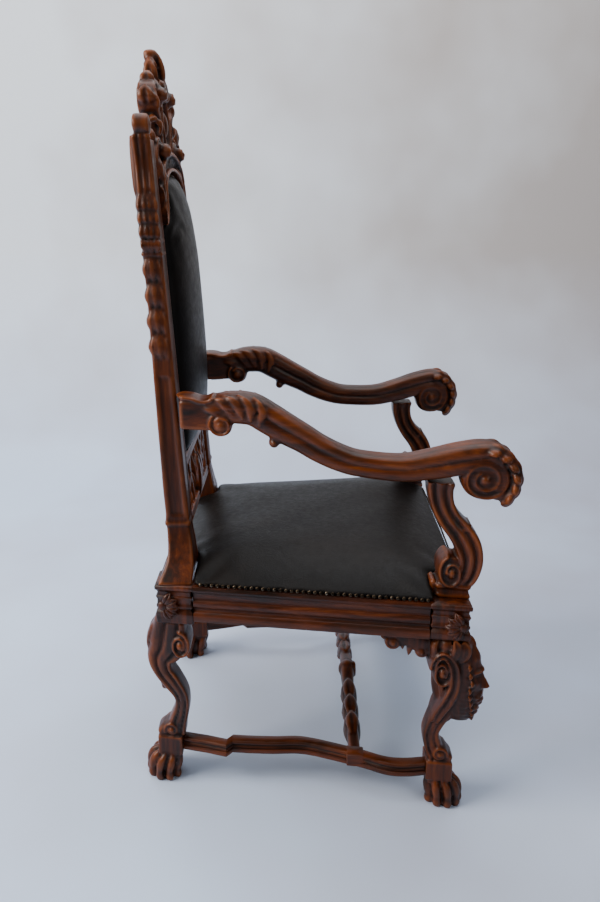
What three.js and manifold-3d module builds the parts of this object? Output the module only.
// A carved walnut throne chair in the Renaissance revival manner: high leather back, scrolled
// open arms, masks on the front knees, paw feet and a serpentine stretcher.
// Millimetres, +Z up. The chair faces -Y, and the sitter's left is +X. The origin is on the
// floor, in the middle of the footprint.
import * as THREE from "three";
import { mergeVertices } from "three/addons/utils/BufferGeometryUtils.js";
import Module from "manifold-3d";

const wasm = await Module();
wasm.setup();

// Driving dimensions
const gap = 0.4;
const footprintY = 5.09;

// Seat frame
const legHeight = 378;
const railHeight = 74;
const railThickness = 30;
const railProud = 3;
const rearBlockY = 282.5;
const frontBlockY = -237;
const rearBlockHalfX = 235;
const frontBlockHalfX = 311;
const cornerBlock = 73;
const cornerBlockWidth = 64;

// Feet and stretchers
const pawHeight = 62;
const pawSpread = 42;
const pawForward = 17;
const pawOutward = 2.5;
const pawNarrowing = 0.94;
const footBlock = 51;
const footBlockTop = 101;
const footScrollRadius = 19;
const kneeScrollRadius = 30;
const kneeEyeRadius = 34;
const maskHalfHeight = 90;
const legSwing = 10;
const rearFootY = 308;
const frontFootY = -234;
const stretcherBottom = 66;
const stretcherHeight = 27;
const stretcherWidth = 25;
const crossStretcherY = -71;
const crossStretcherDepth = 40;
const junctionLength = 46;

// Back
const backLean = 3.27;
const backTaper = 1.7;
const postFrontY = 254;
const postHalfX = 184;
const postWidth = 46;
const postDepth = 47;
const postTopDepth = 36;
const postFootDepth = 60;
const postFootLip = 3;
const earDepth = 30;
const postStepHeight = 104;
const huskBottom = 868;
const huskLength = 47;
const huskCount = 3;
const capitalHeight = 1076;
const earBottom = 1165;
const earTop = 1297;
const earRoll = 18;
const archTop = 1206;
const archSpring = 1112;
const archBand = 35;
const crestTop = 1423;
const crestDepth = 42;
const crestProud = 6;
const lowerRailRise = 80;
const lowerRailHeight = 144;
const lowerRailDepth = 24;
const backPanelThickness = 5;
const padBulge = 39;
const padEdge = 8;

// Seat
const cushionHeight = 45;
const cushionInset = 4;

// Arms
const armLength = 531;
const armHeight = 688;
const armHalfX = 286;
const armRearHalfX = 205;
const armHalfWidth = 26;
const knuckleRadius = 47;
const eyeProud = 3;
const supportHalfWidth = 27;
const supportY = -216;
const collarHalf = 33;

// Finishes
const walnut = { color: 0x5a2e18, roughness: 0.38, metalness: 0 };
const leather = { color: 0x1d1a18, roughness: 0.45, metalness: 0 };

// Derived levels and lines
const railTop = legHeight + railHeight;
const lowerRailBottom = railTop + lowerRailRise;
const lowerRailTop = lowerRailBottom + lowerRailHeight;
const blockSpan = rearBlockY - frontBlockY;
const sideSlope = (frontBlockHalfX - rearBlockHalfX) / blockSpan;
const sideLine = (y) => rearBlockHalfX + (rearBlockY - y) * sideSlope;
const leanSlope = Math.tan(THREE.MathUtils.degToRad(backLean));
const leanBase = railTop + postStepHeight;
const taperSlope = Math.tan(THREE.MathUtils.degToRad(backTaper));
const postInnerX = postHalfX - postWidth / 2;
const postOuterX = postHalfX + postWidth / 2;
const innerAt = (z) => postInnerX - taperSlope * (z - leanBase);
const postFootFront = postFrontY - leanSlope * postStepHeight - postFootLip;
const root = new THREE.Group();

// The sizes at which the curves of the crest and the arm were drawn, and from which they grow
const drawnHalf = 177;
const drawnRise = { from: 1241, height: 182 };
const drawnArm = 531;

// Solids from three.js geometry: shared corners merged, faces turned outwards
function solid(geometry) {
  const bare = geometry.index ? geometry.toNonIndexed() : geometry.clone();
  bare.deleteAttribute("normal");
  bare.deleteAttribute("uv");
  const merged = mergeVertices(bare, 1e-3);
  const corners = merged.attributes.position.array;
  const faces = Uint32Array.from(merged.index.array);
  if (signedVolume(corners, faces) < 0) {
    for (let i = 0; i < faces.length; i += 3) {
      [faces[i + 1], faces[i + 2]] = [faces[i + 2], faces[i + 1]];
    }
  }
  return new wasm.Manifold(new wasm.Mesh({ numProp: 3, vertProperties: corners, triVerts: faces }));
}

function signedVolume(corners, faces) {
  const at = (i) => new THREE.Vector3().fromArray(corners, faces[i] * 3);
  let sum = 0;
  for (let i = 0; i < faces.length; i += 3) {
    sum += at(i).dot(at(i + 1).cross(at(i + 2)));
  }
  return sum;
}

// The geometry of a solid, placed by an optional matrix
function geometryOf(body, matrix) {
  const mesh = body.getMesh();
  const geometry = new THREE.BufferGeometry();
  geometry.setAttribute("position", new THREE.BufferAttribute(mesh.vertProperties, 3));
  geometry.setIndex(new THREE.BufferAttribute(mesh.triVerts, 1));
  return matrix ? geometry.applyMatrix4(matrix) : geometry;
}

const fuse = (parts) => parts.reduce((whole, next) => whole.add(next));
const placed = (body, matrix) => solid(geometryOf(body, matrix));

// Fills the sealed pockets that lobes enclose where they meet: a pocket is a shell turned inwards
function pocketsFilled(body) {
  return fuse(body.decompose().filter((shell) => shell.volume() > 0));
}

// Adds one named mesh with its own material, with the middle of the footprint over the origin
function addPiece(name, body, finish) {
  const material = new THREE.MeshStandardMaterial({ ...finish, flatShading: true });
  const centred = new THREE.Matrix4().makeTranslation(0, -footprintY, 0);
  const faces = geometryOf(pocketsFilled(placed(body, centred)));
  const mesh = new THREE.Mesh(faces, material);
  mesh.name = name;
  root.add(mesh);
}

// Shears: onto the splayed side of the seat, onto the arm line, and along the leaning back
function sideways(side, slope, offset) {
  return new THREE.Matrix4().set(side, -side * slope, 0, side * offset, 0, 1, 0, 0, 0, 0, 1, 0, 0, 0, 0, 1);
}
const ontoSide = (side) => sideways(side, sideSlope, rearBlockHalfX + rearBlockY * sideSlope);
const leaning = new THREE.Matrix4().set(
  1, 0, 0, 0,
  0, 1, leanSlope, postFrontY - leanBase * leanSlope,
  0, 0, 1, 0,
  0, 0, 0, 1,
);
const leaningPost = new THREE.Matrix4().makeShear(0, 0, 0, 0, -taperSlope, 0)
  .setPosition(taperSlope * leanBase, 0, 0).premultiply(leaning);
const mirrorX = new THREE.Matrix4().makeScale(-1, 1, 1);
const bothSides = (body) => body.add(placed(body, mirrorX));

function box(x0, x1, y0, y1, z0, z1) {
  const shape = new THREE.BoxGeometry(x1 - x0, y1 - y0, z1 - z0);
  return solid(shape.translate((x0 + x1) / 2, (y0 + y1) / 2, (z0 + z1) / 2));
}

// A flat outline extruded along one axis. The outline is (y, z), (x, z) or (x, y).
function slab(outline, axis, from, to) {
  const shape = new THREE.Shape(outline.map(([a, b]) => new THREE.Vector2(a, b)));
  const cut = new THREE.ExtrudeGeometry(shape, { depth: to - from, bevelEnabled: false });
  cut.translate(0, 0, from);
  const turn = new THREE.Matrix4();
  if (axis === "x") turn.set(0, 0, 1, 0, 1, 0, 0, 0, 0, 1, 0, 0, 0, 0, 0, 1);
  if (axis === "y") turn.set(1, 0, 0, 0, 0, 0, 1, 0, 0, 1, 0, 0, 0, 0, 0, 1);
  return solid(cut.applyMatrix4(turn));
}

// A closed skin through rings that have the same number of points, with fanned ends
function loft(rings) {
  const count = rings[0].length;
  const positions = rings.flat(2);
  const index = [];
  for (let r = 0; r + 1 < rings.length; r++) {
    for (let i = 0; i < count; i++) {
      const j = (i + 1) % count;
      const low = r * count;
      const high = low + count;
      index.push(low + i, low + j, high + j, low + i, high + j, high + i);
    }
  }
  for (const [ring, turned] of [[0, true], [rings.length - 1, false]]) {
    const middle = positions.length / 3;
    for (let axis = 0; axis < 3; axis++) {
      positions.push(rings[ring].reduce((sum, p) => sum + p[axis], 0) / count);
    }
    for (let i = 0; i < count; i++) {
      const a = ring * count + i;
      const b = ring * count + ((i + 1) % count);
      index.push(...(turned ? [b, a, middle] : [a, b, middle]));
    }
  }
  const skin = new THREE.BufferGeometry();
  skin.setAttribute("position", new THREE.Float32BufferAttribute(positions, 3));
  skin.setIndex(index);
  return solid(skin);
}

// A rounded-square ring round a point: half sizes along two directions
function ringAt(centre, across, up, halfAcross, halfUp, sides, roundness) {
  const soften = (v) => Math.sign(v) * Math.abs(v) ** roundness;
  return Array.from({ length: sides }, (_, i) => {
    const angle = ((i + 0.5) / sides) * 2 * Math.PI;
    const point = centre.clone();
    point.addScaledVector(across, halfAcross * soften(Math.cos(angle)));
    point.addScaledVector(up, halfUp * soften(Math.sin(angle)));
    return point.toArray();
  });
}

// A limb that bends in one plane: stations of [a, b, half thickness, half width], smoothed.
// The plane is "yz" (width along x) or "xz" (width along y, about the depth given).
function limb(stations, { plane = "yz", steps = 9, sides = 6, roundness = 0.6, depth = 0 } = {}) {
  const sideOn = plane === "yz";
  const inPlane = (a, b) => (sideOn ? new THREE.Vector3(depth, a, b) : new THREE.Vector3(a, depth, b));
  const across = new THREE.Vector3(sideOn ? 1 : 0, sideOn ? 0 : 1, 0);
  const smooth = (points) => new THREE.CatmullRomCurve3(points, false, "catmullrom", 0.5);
  const path = smooth(stations.map(([a, b]) => inPlane(a, b)));
  const size = smooth(stations.map(([, , high, wide]) => new THREE.Vector3(high, wide, 0)));
  const rings = [];
  for (let i = 0; i <= steps; i++) {
    const t = i / steps;
    const tangent = path.getTangent(t);
    const up = new THREE.Vector3().crossVectors(across, tangent).normalize();
    const half = size.getPoint(t);
    rings.push(ringAt(path.getPoint(t), across, up, half.y, half.x, sides, roundness));
  }
  return loft(rings);
}

// A scroll seen from the side: a spiral band, a sunk web and a raised eye
function volute(centre, radius, halfWidth, { turn = 1, start = 0, oval = 1, axis = "x", depth = 0 } = {}) {
  const steps = 5;
  const turns = 1.05;
  const sunk = 3.5;
  const at = (r, t) => {
    const angle = start + turn * t * turns * 2 * Math.PI;
    return [centre[0] + r * oval * Math.cos(angle), centre[1] + r * Math.sin(angle)];
  };
  const outer = [];
  const inner = [];
  for (let i = 0; i <= steps; i++) {
    const t = i / steps;
    const edge = radius * (1 - 0.52 * t);
    outer.push(at(edge, t));
    inner.unshift(at(edge - radius * (0.24 - 0.08 * t), t));
  }
  const disc = (r, sides) => Array.from({ length: sides }, (_, i) => {
    const angle = (i / sides) * 2 * Math.PI;
    return [centre[0] + r * oval * Math.cos(angle), centre[1] + r * Math.sin(angle)];
  });
  return fuse([
    slab([...outer, ...inner], axis, depth - halfWidth, depth + halfWidth),
    slab(disc(radius * 0.88, 6), axis, depth - halfWidth + sunk, depth + halfWidth - sunk),
    slab(disc(radius * 0.3, 5), axis, depth - halfWidth - 1, depth + halfWidth + 1),
  ]);
}

// A small scroll: a round end with a raised eye on both faces
function smallScroll(centre, radius, halfWidth, oval = 1) {
  const disc = (r, sides) => Array.from({ length: sides }, (_, i) => {
    const angle = (i / sides) * 2 * Math.PI;
    return [centre[0] + r * oval * Math.cos(angle), centre[1] + r * Math.sin(angle)];
  });
  return slab(disc(radius, 8), "x", -halfWidth, halfWidth)
    .add(slab(disc(radius * 0.42, 5), "x", -halfWidth - eyeProud, halfWidth + eyeProud));
}

// A leaf or lobe: a lens-shaped limb that swells and comes to a blunt tip
function leaf(points, halfThick, halfWidth, options = {}) {
  const last = points.length - 1;
  const stations = points.map(([a, b], i) => {
    const swell = Math.sin(Math.PI * (0.25 + 0.68 * (i / last)));
    return [a, b, halfThick * swell, halfWidth * swell];
  });
  return limb(stations, { steps: 3, sides: 4, roundness: 0.8, ...options });
}

// A paw: toes fan round the outer corner of the foot, and swell towards the floor
function paw(footY, forward) {
  const toes = 6;
  const sides = 16;
  const levels = [0, 0.15, 0.6, 1];
  const swell = [0.96, 1, 0.86, 0.6];
  const rings = levels.map((level, k) => Array.from({ length: sides }, (_, i) => {
    const angle = (i / sides) * 2 * Math.PI;
    const diagonal = Math.cos(angle - Math.atan2(forward, 1));
    const reach = pawSpread * swell[k] * (0.92 + 0.08 * diagonal * (1 - level));
    const toe = 0.99 + 0.07 * (1 - 0.5 * level) * Math.cos(toes * (angle - forward * 0.79));
    const push = pawForward * (1 - level);
    const y = footY + push * forward + reach * toe * Math.sin(angle);
    const x = pawOutward * (1 - level) + pawNarrowing * reach * toe * Math.cos(angle);
    return [x, y, level * pawHeight];
  }));
  return loft(rings);
}

// The bearded face on the knee: an egg with brow, nose, cheeks, lips and locks raised on it
function kneeMask(centreY, centreZ, halfWidth, depth, halfHeight) {
  const columns = 11;
  const rows = 9;
  const bump = (v, middle, spread) => Math.exp(-(((v - middle) / spread) ** 2));
  const relief = (a, v) => {
    const side = Math.abs(a);
    const nose = 0.3 * bump(a, 0, 0.17) * bump(v, 0.53, 0.075);
    const brow = 0.1 * bump(v, 0.36, 0.05) * bump(side, 0.3, 0.4);
    const socket = -0.1 * bump(v, 0.43, 0.045) * bump(side, 0.38, 0.2);
    const cheek = 0.08 * bump(v, 0.54, 0.07) * bump(side, 0.62, 0.25);
    const lips = 0.1 * bump(v, 0.66, 0.03) * bump(a, 0, 0.35);
    const locks = 0.07 * Math.cos(9 * a) * (v > 0.72 || v < 0.24 ? 1 : 0);
    return 1 + nose + brow + socket + cheek + lips + locks;
  };
  const rings = [];
  for (let r = 1; r < rows; r++) {
    const v = r / rows;
    const level = -Math.cos(Math.PI * v);
    const chin = 1 - 0.25 * Math.max(0, v - 0.55);
    rings.push(Array.from({ length: columns }, (_, i) => {
      const a = -Math.PI + ((i + 0.5) / columns) * 2 * Math.PI;
      const front = Math.abs(a) < 1.7 ? relief(a, v) : 1;
      const radius = Math.sin(Math.PI * v) ** 0.7 * chin;
      const x = radius * halfWidth * Math.sin(a);
      const y = centreY - radius * depth * Math.cos(a) * front;
      return [x, y, centreZ - level * halfHeight];
    }));
  }
  return loft(rings);
}

// Places on the curves of the legs: up from the foot block as a share, and along in tenths of a swing
const legZ = (share) => footBlockTop + share * (legHeight - footBlockTop);
const swing = (tenths) => (tenths * legSwing) / 10;

// Front leg, in its own side plane: x = 0 is the middle of the leg
function frontLeg() {
  const blockFront = frontBlockY - cornerBlock / 2;
  const half = cornerBlockWidth / 2;
  const y = (tenths) => frontFootY + swing(tenths);
  const shaft = limb([
    [y(2), legZ(0.03), 20, 21], [y(12), legZ(0.11), 18, 20], [y(17), legZ(0.19), 16, 19],
    [y(15), legZ(0.25), 15, 19], [y(7), legZ(0.33), 17, 20], [y(-4), legZ(0.42), 18, 21],
    [y(-14), legZ(0.53), 21, 23], [y(-14), legZ(0.66), 27, 26], [y(-8), legZ(0.81), 34, 28],
    [y(-3), legZ(1.02), 36, 30],
  ], { steps: 9 });
  const kneeEar = limb([
    [y(12), legZ(0.41), 9, 27], [y(-7), legZ(0.53), 10, 32], [y(-18), legZ(0.664), 10, 33],
    [y(-12), legZ(0.81), 10, 33], [y(5), legZ(0.88), 9, 33], [y(19), legZ(0.83), 8, 33],
    [y(23), legZ(0.74), 7, 33],
  ], { steps: 7, sides: 4 });
  const kneeEye = smallScroll([y(5), legZ(0.745)], kneeEyeRadius, half, 0.52);
  const mask = kneeMask(y(-24), legZ(0.65), half + 1, 45, maskHalfHeight);
  const corner = box(-half, half, blockFront, frontBlockY + cornerBlock / 2, legHeight, railTop);
  const rosette = leafBoss(half, frontBlockY - 10);
  const bracket = fuse([kneeBracket("x"), kneeBracket("y")]);
  const foot = fuse([footCurl(frontFootY, -1), squareFoot(frontFootY), paw(frontFootY, -1)]);
  return fuse([shaft, kneeEar, kneeEye, mask, corner, rosette, bracket, foot]);
}

// The scroll on the foot block: a ringed eye, and a heel that runs out over the paw to a blunt corner
function footCurl(footY, forward) {
  const y = (offset) => footY + forward * offset;
  const rise = (share) => footBlockTop + share * footScrollRadius;
  const heel = [
    [y(-6), rise(-0.2)], [y(27), rise(-0.2)], [y(28), rise(0.8)], [y(17), rise(1.35)], [y(0), rise(1.6)],
  ];
  return smallScroll([y(-4), rise(0.85)], footScrollRadius, 23)
    .add(slab(forward > 0 ? heel : heel.reverse(), "x", -20, 20));
}

// The square block between a paw and the leg, which takes the stretcher's end
function squareFoot(footY) {
  const half = footBlock / 2;
  return box(-half, half, footY - half, footY + half, pawHeight - 4, footBlockTop);
}

// A low oval leaf boss on the outer face of a corner block
function leafBoss(outerX, y) {
  const shape = new THREE.SphereGeometry(1, 6, 4).scale(7, 17, 17);
  return solid(shape.translate(outerX - 1, y, railTop - railHeight / 2 + 3));
}

// The carved bracket under a rail beside a front knee: a curl, a hanging leaf and a ball scroll.
// It runs back along the side rail, or inwards along the front rail.
function kneeBracket(axis) {
  const along = axis === "x" ? 1 : -1;
  const start = axis === "x" ? frontBlockY + cornerBlock / 2 : -cornerBlockWidth / 2;
  const middle = axis === "x" ? 0 : frontBlockY - cornerBlock / 2 + 22;
  const top = legHeight - gap;
  const lobes = [
    { at: 6, drop: 38, radius: 17 },
    { at: 32, drop: 42, radius: 11 },
    { at: 56, drop: 22, radius: 16 },
  ];
  const outline = [[start - along * 12, top]];
  for (const { at, drop, radius } of lobes) {
    for (const angle of [-2.8, -1.6, -0.4]) {
      const reach = at + radius * Math.cos(angle);
      outline.push([start + along * reach, top - drop + radius * 0.6 + radius * Math.sin(angle)]);
    }
  }
  outline.push([start + along * 84, top]);
  return slab(along > 0 ? outline : outline.reverse(), axis, middle - 15, middle + 15);
}

// Rear leg, in its own side plane
function rearLeg() {
  const half = cornerBlockWidth / 2;
  const y = (tenths) => rearFootY + swing(tenths);
  const shaft = limb([
    [y(-14), legZ(1), 28, 28], [y(-8), legZ(0.863), 40, 28], [y(-3), legZ(0.75), 42, 27],
    [y(12), legZ(0.65), 29, 25], [y(8), legZ(0.55), 21, 23], [y(-9), legZ(0.45), 19, 22],
    [y(-24), legZ(0.36), 16, 21], [y(-28), legZ(0.29), 15, 20], [y(-25), legZ(0.215), 17, 20],
    [y(-16), legZ(0.1), 20, 21], [y(-11), legZ(0.03), 22, 21],
  ], { steps: 10 });
  const top = smallScroll([y(-31), legZ(0.785)], kneeScrollRadius, 28, 0.66);
  const spur = leaf([[y(-2), legZ(0.52)], [y(8), legZ(0.45)], [y(13), legZ(0.39)]], 8, 18);
  const blockFront = rearBlockY - cornerBlock / 2;
  const corner = box(-half, half, blockFront, blockFront + cornerBlock, legZ(0.964), railTop);
  const rosette = leafBoss(half, rearBlockY + 8);
  const foot = fuse([footCurl(rearFootY, 1), squareFoot(rearFootY), paw(rearFootY, 1)]);
  return fuse([shaft, top, spur, corner, rosette, foot]);
}

// The moulded outer face of the seat rails, as (outwards, up), from the bottom edge to the top
function railFace() {
  const h = (share) => legHeight + share * railHeight;
  return [
    [railProud, h(0)], [railProud + 1, h(0.12)], [railProud, h(0.27)], [-2, h(0.33)], [-4, h(0.42)],
    [-1, h(0.5)], [-1, h(0.57)], [-5, h(0.64)], [-3, h(0.78)], [1, h(0.86)], [2, h(0.92)], [0, h(1)],
  ];
}

// Keeps only what lies inside the splayed sides, a distance in from the side line
function betweenSides(inset) {
  const far = 400;
  const line = (y) => sideLine(y) - inset;
  const plan = [[-line(-far), -far], [line(-far), -far], [line(far), far], [-line(far), far]];
  return slab(plan, "z", -10, crestTop + 100);
}

function sideRail() {
  const outer = cornerBlockWidth / 2;
  const profile = [[outer - railThickness, legHeight], ...railFace().map(([x, z]) => [x + outer - 2, z]),
    [outer - railThickness, railTop]];
  const from = frontBlockY + cornerBlock / 2 + gap;
  const to = rearBlockY - cornerBlock / 2 - gap;
  return slab(profile, "y", from, to);
}

// Front or back rail: the same moulding, facing forwards or backwards
function endRail(faceY, outward) {
  const profile = railFace().map(([out, z]) => [faceY + outward * (out - 2), z]);
  const inner = faceY - outward * railThickness;
  const outline = [[inner, legHeight], ...profile, [inner, railTop]];
  const long = slab(outline, "x", -frontBlockHalfX, frontBlockHalfX);
  return long.intersect(betweenSides(cornerBlockWidth / 2 + gap));
}

// Serpentine side stretcher: its plan as [share of its length from the front foot, swing outwards]
const stretcherFrom = frontFootY + footBlock / 2 + gap;
const stretcherTo = rearFootY - footBlock / 2 - gap;
const stretcherPlan = [
  [0, 7], [0.07, 15], [0.13, 19], [0.18, 16], [0.235, 6], [0.29, 0], [0.36, -6], [0.45, -15], [0.52, -17],
  [0.62, -9], [0.72, -4], [0.79, -2], [0.815, 8], [0.9, 3], [1, 1],
];
function stretcherOffset(y) {
  const t = (y - stretcherFrom) / (stretcherTo - stretcherFrom);
  const next = Math.max(1, stretcherPlan.findIndex(([share]) => share >= t));
  const [[from, low], [to, high]] = stretcherPlan.slice(next - 1, next + 1);
  return low + ((high - low) * (t - from)) / (to - from);
}

function sideStretcher() {
  const half = stretcherWidth / 2;
  const h = stretcherHeight;
  const section = [[-half, 0], [half, 0], [half + 1, h * 0.4], [half - 5, h * 0.5],
    [half, h * 0.62], [half - 3, h], [-half, h]];
  const rings = stretcherPlan.map(([share, swingOut]) => {
    const y = stretcherFrom + (stretcherTo - stretcherFrom) * share;
    return section.map(([x, z]) => [x + swingOut, y, stretcherBottom + z]);
  });
  const junctionX = stretcherOffset(crossStretcherY);
  const reach = junctionLength / 2;
  const junction = box(junctionX - half - 3, junctionX + half + 2, crossStretcherY - reach,
    crossStretcherY + reach, stretcherBottom, stretcherBottom + h + 2);
  return loft(rings).add(junction);
}

// Cross stretcher: a bar with leaves that stand up towards a central boss
function crossStretcher() {
  const half = crossStretcherDepth / 2;
  const z = stretcherBottom + stretcherHeight / 2;
  const reach = sideLine(crossStretcherY);
  const bar = limb([[-reach, z, 14, half - 2], [-150, z + 2, 13, half - 3], [-60, z + 8, 18, half],
    [0, z + 12, 26, half + 4], [60, z + 8, 18, half], [150, z + 2, 13, half - 3], [reach, z, 14, half - 2]],
  { plane: "xz", depth: crossStretcherY, steps: 8, sides: 4, roundness: 0.5 });
  const leaves = [190, 120, 55].map((x) => leaf(
    [[x + 28, z + 4], [x, z + 16], [x - 26, z + 27]], 9, half, { plane: "xz", depth: crossStretcherY }));
  const boss = solid(new THREE.SphereGeometry(1, 8, 5).scale(24, half + 7, 22)
    .translate(0, crossStretcherY, z + 16));
  const whole = fuse([bar, bothSides(fuse(leaves)), boss]);
  const inner = stretcherWidth / 2 + 3 - stretcherOffset(crossStretcherY) + gap;
  return whole.intersect(betweenSides(inner));
}

// Back post, in the leaning frame: y = 0 is its front face. One side, x positive.
function post() {
  const base = railTop + gap;
  const outerAtFoot = rearBlockHalfX + cornerBlockWidth / 2 - 5;
  const narrowing = (z) => Math.max(0, 1 - (z - leanBase) / 250) ** 1.5;
  const taper = (z) => postTopDepth + (postDepth - postTopDepth) * narrowing(z);
  const level = (z, front, back, outer) => [
    [postInnerX, front, z], [outer - 4, front, z], [outer, front + 4, z], [outer, back - 4, z],
    [outer - 4, back, z], [postInnerX, back, z],
  ];
  const foot = (share) => base + share * postStepHeight;
  const flare = (share) => postOuterX + (outerAtFoot - postOuterX) * share;
  const stiles = loft([
    level(base, -postFootLip + 2, postFootDepth + 4, outerAtFoot),
    level(foot(0.1), -postFootLip + 1, postFootDepth, flare(0.9)),
    level(foot(0.3), -postFootLip, postDepth + 2, flare(0.55)),
    level(foot(0.6), -postFootLip + 2, postDepth - 1, flare(0.2)),
    level(foot(0.95), 2, postDepth - 1, flare(0)),
    level(foot(1), 0, postDepth + 1, postOuterX + 1),
    level(foot(1.3), 1, taper(foot(1.3)), postOuterX),
    level(huskBottom - 160, 1, taper(huskBottom - 160), postOuterX),
    level(capitalHeight, 1, taper(capitalHeight), postOuterX - 2),
    level(earBottom + 5, 2, postTopDepth, postOuterX - 6),
  ]);
  const panelTop = huskBottom - 25;
  const panelBottom = foot(1) + 18;
  const panel = box(postOuterX - 3, postOuterX + 5, 11, postDepth - 13, panelBottom, panelTop);
  const husks = Array.from({ length: huskCount }, (_, i) => {
    const z = huskBottom + (i + 0.45) * huskLength;
    const shape = new THREE.ConeGeometry(15, huskLength * 1.05, 6, 1).rotateX(-Math.PI / 2);
    return solid(shape.scale(0.55, 1, 1).translate(postOuterX - 3, taper(z) / 2 + 1, z));
  });
  const drum = new THREE.CylinderGeometry(1, 0.8, 30, 8).rotateX(Math.PI / 2);
  drum.scale(postWidth / 2 + 4, postTopDepth / 2 + 2, 1);
  const capital = solid(drum.translate(postHalfX, postTopDepth / 2 + 1, capitalHeight));
  const steps = [0, 1, 2].map((i) => {
    const z = capitalHeight + 18 + (i * (earBottom - capitalHeight - 10)) / 3;
    const rise = (earBottom - capitalHeight) / 3 + 8;
    return leaf([[postOuterX - 12, z + rise], [postOuterX - 4, z + rise / 2], [postOuterX + 2 - 3 * i, z]], 9, 19,
      { plane: "xz", depth: postTopDepth / 2 + 2 });
  });
  const room = box(postInnerX, 2 * postOuterX, -60, 120, base, earTop + 10);
  return fuse([stiles.subtract(panel), ...husks, capital, ...steps, ear()]).intersect(room);
}

// The fluted scroll that ends the post, rolled outwards at its top
function ear() {
  const d = postTopDepth - 2;
  const neck = earTop - 2 * earRoll;
  const reeded = (z, outer) => {
    const reeds = Array.from({ length: 7 }, (_, i) => {
      const t = i / 6;
      return [outer - 3 + 3.5 * Math.abs(Math.sin(3 * Math.PI * t)), 2 + t * (d - 3), z];
    });
    return [[postInnerX, 2, z], ...reeds, [postInnerX, d - 1, z]];
  };
  const rise = neck - earBottom;
  const band = loft([
    reeded(earBottom - 10, postOuterX - 2), reeded(earBottom + rise * 0.5, postOuterX - 8),
    reeded(neck + 4, postOuterX - 4),
  ]);
  const roll = Array.from({ length: 8 }, (_, i) => {
    const angle = ((i + 0.5) / 8) * 2 * Math.PI;
    const x = postOuterX + 3 + earRoll * (Math.cos(angle) - 1);
    return [x, earTop + earRoll * (Math.sin(angle) - 1)];
  });
  return band.add(slab(roll, "y", 1, earDepth + 1));
}

// The inner edge of the arch over the leather, from one shoulder to the other
function archLine(inset, count) {
  const shoulder = innerAt(archSpring) - inset;
  const spring = shoulder * 0.74;
  const rise = archTop - inset - archSpring;
  const half = [];
  for (let i = 0; i <= count; i++) {
    const t = i / count;
    const angle = (t * Math.PI) / 2;
    half.push([spring * Math.sin(angle), archSpring + rise * (0.5 + 0.5 * Math.cos(angle) ** 0.8)]);
  }
  for (let i = 1; i <= 3; i++) {
    const t = i / 3;
    half.push([spring + (shoulder - spring) * t ** 1.6, archSpring + rise * 0.5 * (1 - t) ** 1.6]);
  }
  return half;
}

// Crest rail: the arch moulding, pierced scrolls, a shield and a leaf finial
function crestRail() {
  const middle = crestDepth / 2 - crestProud;
  const deep = crestDepth / 2;
  const inPlane = { plane: "xz", depth: middle, sides: 4, roundness: 0.8 };
  const reach = innerAt(archSpring);
  const arch = archLine(0, 5);
  const raised = arch.map(([x, z], i) => [x, z + archBand * (1 - 0.2 * (i / arch.length))]);
  const end = [[reach + 9, archSpring], [reach + 9, archSpring + archBand * 0.8]];
  const halfArch = [...arch, end[0], end[1], ...raised.reverse()];
  const archPlate = slab(halfArch, "y", 0, crestDepth - 2 * crestProud);
  const edge = archLine(-8, 6).map(([x, z]) => [x, z, 6, 9]);
  const lip = limb(edge, { plane: "xz", depth: 3, steps: 6, sides: 4 });
  const x = (value) => (value * reach) / drawnHalf;
  const rise = (crestTop - archTop - archBand) / drawnRise.height;
  const z = (value) => archTop + archBand + (value - drawnRise.from) * rise;
  const outer = limb([[x(181), z(1138), 12, deep - 7], [x(164), z(1196), 10, deep - 5],
    [x(152), z(1232), 9, deep - 4], [x(128), z(1256), 9, deep - 3], [x(104), z(1254), 10, deep - 4],
    [x(96), z(1236), 9, deep - 6]], { ...inPlane, steps: 5 });
  const inner = limb([[x(92), z(1218), 11, deep - 5], [x(70), z(1262), 9, deep - 3],
    [x(84), z(1296), 9, deep - 2], [x(104), z(1318), 10, deep - 1], [x(98), z(1346), 10, deep - 3],
    [x(68), z(1354), 9, deep - 6], [x(44), z(1336), 10, deep - 8]], { ...inPlane, steps: 6 });
  const fans = [
    leaf([[x(144), z(1160)], [x(136), z(1205)], [x(120), z(1244)]], 13, deep - 6, inPlane),
    leaf([[x(84), z(1284)], [x(112), z(1294)], [x(140), z(1290)]], 11, deep - 5, inPlane),
    leaf([[x(34), z(1310)], [x(52), z(1345)], [x(46), z(1380)]], 14, deep - 6, inPlane),
    leaf([[x(10), z(1345)], [x(27), z(1374)], [x(25), z(1400)]], 10, deep - 7, inPlane),
  ];
  const shield = solid(new THREE.SphereGeometry(1, 8, 5).scale(x(46), deep, 56).translate(0, middle, z(1292)));
  const finial = limb([[0, z(1335), 20, deep - 5], [0, z(1362), 17, deep - 7], [0, z(1388), 10, 12],
    [0, z(1400), 12, 13], [0, z(1415), 13, 14], [0, z(1423), 5, 7]], { ...inPlane, steps: 6 });
  const half = fuse([archPlate, lip, outer, inner, ...fans]);
  const whole = fuse([bothSides(half), shield, finial]);
  return whole.intersect(betweenPosts(gap)).subtract(padPrism(-gap, -60, 90));
}

// Keeps only what lies between the tapering posts, a distance in from their inner faces
function betweenPosts(inset) {
  const low = railTop;
  const high = crestTop + 100;
  const right = [[innerAt(low) - inset, low], [innerAt(high) - inset, high]];
  const left = [[inset - innerAt(high), high], [inset - innerAt(low), low]];
  return slab([...right, ...left], "y", -100, 120);
}

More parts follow.
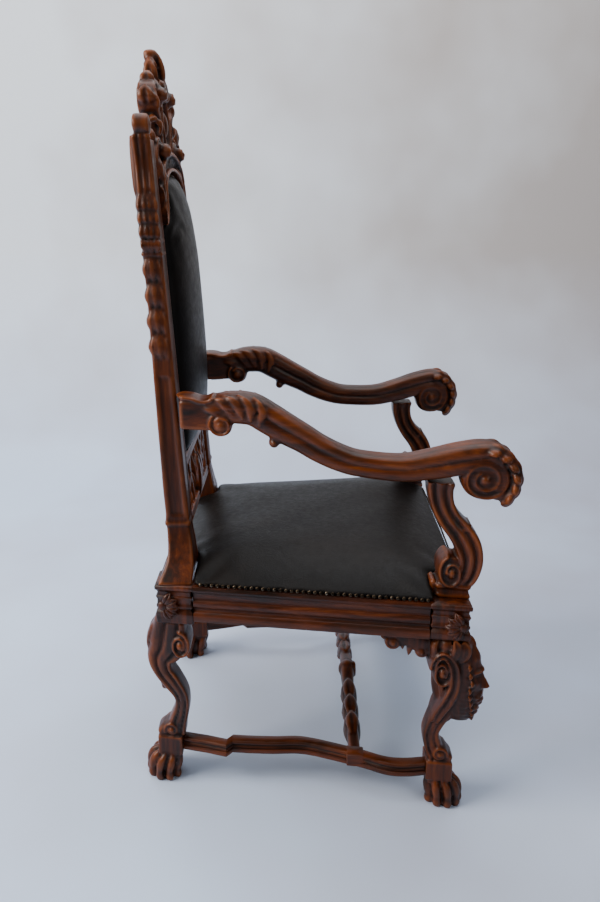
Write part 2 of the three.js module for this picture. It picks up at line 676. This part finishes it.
// The outline of the leather back in front view, shrunk or grown by an inset
function padPrism(inset, from, to) {
  const half = archLine(inset, 5);
  const bottom = lowerRailTop + inset;
  const stile = (z) => [innerAt(z) - inset, z];
  const right = [...half, stile(archSpring - 4), stile(bottom)];
  const left = right.slice(1).reverse().map(([x, z]) => [-x, z]);
  return slab([...right, ...left], "y", from, to);
}

// Leather back: a crowned pad, flat at its rear, inside the frame
const padRear = postTopDepth - backPanelThickness - 6;
function backPad() {
  const low = lowerRailTop + gap * 2;
  const high = archTop - gap * 2;
  const columns = 6;
  const rows = 6;
  const crown = (u, v) => padEdge - padBulge * ((1 - u ** 2) * (1 - Math.abs(v) ** 3)) ** 0.55;
  const positions = [];
  for (let side = 0; side < 2; side++) {
    for (let j = 0; j <= rows; j++) {
      for (let i = 0; i <= columns; i++) {
        const u = (2 * i) / columns - 1;
        const v = (2 * j) / rows - 1;
        const z = low + (high - low) * (v / 2 + 0.5);
        positions.push(u * (innerAt(z) - gap * 2), side ? padRear : crown(u, v), z);
      }
    }
  }
  const block = solid(gridShell(positions, columns, rows));
  return block.intersect(padPrism(gap, -60, 60));
}

// The plain outside back: a thin panel in the same opening, behind the pad
function outsideBack() {
  return padPrism(gap, padRear + gap, padRear + gap + backPanelThickness);
}

// A closed shell from a front grid and a back grid with the same corners
function gridShell(positions, columns, rows) {
  const wide = columns + 1;
  const layer = wide * (rows + 1);
  const index = [];
  const quad = (a, b, c, d) => index.push(a, b, c, a, c, d);
  for (let j = 0; j < rows; j++) {
    for (let i = 0; i < columns; i++) {
      const a = j * wide + i;
      quad(a, a + 1, a + wide + 1, a + wide);
      quad(layer + a, layer + a + wide, layer + a + wide + 1, layer + a + 1);
    }
  }
  for (let i = 0; i < columns; i++) {
    quad(i + 1, i, layer + i, layer + i + 1);
    const top = rows * wide + i;
    quad(top, top + 1, layer + top + 1, layer + top);
  }
  for (let j = 0; j < rows; j++) {
    const left = j * wide;
    quad(left, left + wide, layer + left + wide, layer + left);
    const right = left + columns;
    quad(right + wide, right, layer + right, layer + right + wide);
  }
  const shell = new THREE.BufferGeometry();
  shell.setAttribute("position", new THREE.Float32BufferAttribute(positions, 3));
  shell.setIndex(index);
  return shell;
}

// Carved lower back rail: two bars with a pierced band of crossing leaves between them
function lowerBackRail() {
  const reach = postInnerX + 10;
  const x = (value) => (value * postInnerX) / drawnHalf;
  const middle = lowerRailDepth / 2 + 4;
  const half = lowerRailDepth / 2;
  const top = box(-reach, reach, middle - half, middle + half, lowerRailTop - 24, lowerRailTop);
  const bottom = box(-reach, reach, middle - half, middle + half, lowerRailBottom, lowerRailBottom + 20);
  const low = lowerRailBottom + 12;
  const high = lowerRailTop - 16;
  const centre = (low + high) / 2;
  const inPlane = { plane: "xz", depth: middle, sides: 4, roundness: 0.8 };
  const scroll = limb([[x(150), low, 10, half], [x(162), centre, 9, half], [x(130), high, 9, half],
    [x(92), centre + 10, 9, half], [x(70), low, 10, half]], { ...inPlane, steps: 8 });
  const thin = half - 2;
  const cross = limb([[x(166), high, 8, thin], [x(120), centre - 12, 9, thin], [x(70), high, 9, thin]],
    { ...inPlane, steps: 5 });
  const ray = leaf([[x(14), low], [x(36), centre + 8], [x(52), high]], 11, half, inPlane);
  const palm = leaf([[0, low - 6], [0, centre + 4], [0, high + 8]], 17, half + 3, inPlane);
  const room = box(-reach, reach, -60, 90, lowerRailBottom, lowerRailTop).intersect(betweenPosts(gap));
  return fuse([top, bottom, palm, bothSides(fuse([scroll, cross, ray]))]).intersect(room);
}

// Seat cushion: a low crowned pad on the frame, cut round the post feet and the arm supports
function seatCushion() {
  const low = railTop + gap;
  const front = frontBlockY - cornerBlock / 2 + cushionInset;
  const back = postFrontY + postDepth;
  const edge = cornerBlockWidth / 2 - cushionInset;
  const levels = [[0, 0], [0, 0.16], [0.05, 0.36], [0.14, 0.6], [0.3, 0.83], [0.55, 0.96], [0.8, 1]];
  const plan = [];
  const perSide = 4;
  for (let i = 0; i < perSide; i++) {
    const y = front + ((back - front) * i) / perSide;
    plan.push([sideLine(y) + edge, y]);
  }
  plan.push([sideLine(back) + edge, back], [0, back + 4]);
  const right = plan;
  const left = plan.slice(0, -1).reverse().map(([x, y]) => [-x, y]);
  const ring = [...right, ...left, [0, front - 4]];
  const centreY = (front + back) / 2;
  const block = loft(levels.map(([shrink, rise]) => ring.map(([x, y]) => [
    x * (1 - shrink), centreY + (y - centreY) * (1 - shrink), low + rise * cushionHeight,
  ])));
  const notchY = supportY - 26 + collarHalf;
  const cutTop = low + cushionHeight + 20;
  const besideSupport = -supportHalfWidth - eyeProud - 1 - gap;
  const supportCut = placed(box(besideSupport, 100, front - 30, notchY + 2, low - 20, cutTop), ontoArm(1));
  const postCutX = innerAt(railTop + cushionHeight) - gap;
  const postCut = box(postCutX, 400, postFootFront - gap, 400, low - 20, cutTop);
  return block.subtract(bothSides(supportCut)).subtract(bothSides(postCut));
}

// Arm, in its own plane: shares of its length back from the middle of the front scroll
const armFrontY = -285;
const armZ = (share) => armHeight + share * armLength;
const armY = (share) => armFrontY + share * armLength;
const armSlope = (armHalfX - armRearHalfX) / (postFrontY - supportY);
const ontoArm = (side) => sideways(side, armSlope, armHalfX + supportY * armSlope);
const supportTop = armZ(-0.024);

function arm() {
  const w = armHalfWidth;
  const grow = armLength / drawnArm;
  const station = (share, rise, half, wide) => [armY(share), armZ(rise), half * grow, wide];
  const bar = limb([
    station(1.03, 0.17, 32, w - 4), station(0.94, 0.168, 27, w - 4), station(0.88, 0.195, 27, w),
    station(0.83, 0.199, 29, w + 2), station(0.775, 0.194, 29, w + 1), station(0.72, 0.165, 30, w),
    station(0.66, 0.13, 29, w), station(0.545, 0.066, 25, w - 1), station(0.475, 0.036, 24, w - 1),
    station(0.405, 0.019, 23, w - 1), station(0.27, 0.012, 24, w - 1), station(0.17, 0.03, 26, w),
    station(0.07, 0.056, 28, w + 2), station(-0.01, 0.07, 28, w + 3), station(-0.06, 0.045, 28, w + 4),
    station(-0.08, 0.0, 26, w + 4), station(-0.06, -0.035, 22, w + 3), station(-0.02, -0.04, 18, w + 2),
  ], { steps: 14 });
  const knuckle = volute([armY(0), armZ(0)], knuckleRadius, w + 5, { turn: -1, start: 1.7 });
  const rear = smallScroll([armY(0.885), armZ(0.143)], 25 * grow, w + 3);
  const curl = solid(new THREE.CylinderGeometry(9, 9, 2 * w - 12, 7).rotateZ(Math.PI / 2)
    .translate(0, armY(0.702), armZ(0.088)));
  const leafBand = limb([
    station(0.06, 0.1, 8, w - 2), station(-0.02, 0.112, 13, w + 3), station(-0.074, 0.088, 14, w + 5),
    station(-0.104, 0.04, 15, w + 6), station(-0.106, -0.02, 15, w + 6), station(-0.078, -0.052, 11, w + 3),
  ], { steps: 6, sides: 4, roundness: 0.8 });
  const seat = box(-w - 20, w + 20, supportY - 30, supportY + 28, supportTop - 60, supportTop + gap);
  const whole = fuse([bar, rear, curl, knuckle, leafBand]);
  return whole.subtract(seat);
}

// Arm support: an S band from the rail to the arm, with an oval scroll at its foot
function armSupport() {
  const base = railTop + gap;
  const height = supportTop - base;
  const z = (share) => base + share * height;
  const y = (offset) => supportY + offset;
  const w = supportHalfWidth;
  const band = limb([
    [y(2), z(1.03), 25, w - 3], [y(4), z(0.93), 23, w - 4], [y(-2), z(0.8), 21, w - 5],
    [y(-16), z(0.68), 22, w - 4], [y(-36), z(0.57), 25, w - 2], [y(-50), z(0.46), 26, w],
    [y(-56), z(0.33), 24, w], [y(-50), z(0.2), 22, w], [y(-36), z(0.1), 20, w - 2],
  ], { steps: 9 });
  const scroll = volute([y(-22), z(0.22)], height * 0.168, w + 3, { turn: -1, start: 1.4, oval: 0.72 });
  const collarSide = [[0, 0], [0.045, 0], [0.05, 4], [0.09, 4], [0.095, 0], [0.14, 0]];
  const collarEdge = (turn, inset) => y(-26) + turn * (collarHalf - 1 - inset);
  const collarFace = (turn) => collarSide.map(([share, inset]) => [collarEdge(turn, inset), z(share)]);
  const collar = slab([...collarFace(1), ...collarFace(-1).reverse()], "x", -w, w);
  const shoulder = box(-w + 6, w - 6, y(-16), y(4), z(0.3), z(0.475));
  const room = box(-80, 80, y(-120), y(100), base, supportTop);
  return fuse([band, scroll, collar, shoulder]).intersect(room);
}

// Everything in its place
const railFaceY = { front: frontBlockY - cornerBlock / 2 + 2, back: rearBlockY + cornerBlock / 2 - 2 };
addPiece("front_rail", endRail(railFaceY.front, -1), walnut);
addPiece("back_rail", endRail(railFaceY.back, 1), walnut);
const postRoom = placed(box(0, postOuterX + gap, 1 - gap, 120, leanBase + 20, earTop), leaningPost);
for (const [side, name] of [[-1, "right"], [1, "left"]]) {
  addPiece(`side_rail_${name}`, placed(sideRail(), ontoSide(side)), walnut);
  addPiece(`front_leg_${name}`, placed(frontLeg(), ontoSide(side)), walnut);
  addPiece(`rear_leg_${name}`, placed(rearLeg(), ontoSide(side)), walnut);
  addPiece(`side_stretcher_${name}`, placed(sideStretcher(), ontoSide(side)), walnut);
  const turned = side < 0 ? mirrorX : new THREE.Matrix4();
  addPiece(`back_post_${name}`, placed(placed(post(), leaningPost), turned), walnut);
  addPiece(`arm_${name}`, placed(arm(), ontoArm(side)).subtract(placed(postRoom, turned)), walnut);
  addPiece(`arm_support_${name}`, placed(armSupport(), ontoArm(side)), walnut);
}
addPiece("cross_stretcher", crossStretcher(), walnut);
addPiece("crest_rail", placed(crestRail(), leaning), walnut);
addPiece("lower_back_rail", placed(lowerBackRail(), leaning), walnut);
addPiece("back_pad", placed(backPad(), leaning), leather);
addPiece("outside_back_panel", placed(outsideBack(), leaning), leather);
addPiece("seat_cushion", seatCushion(), leather);

export default root;
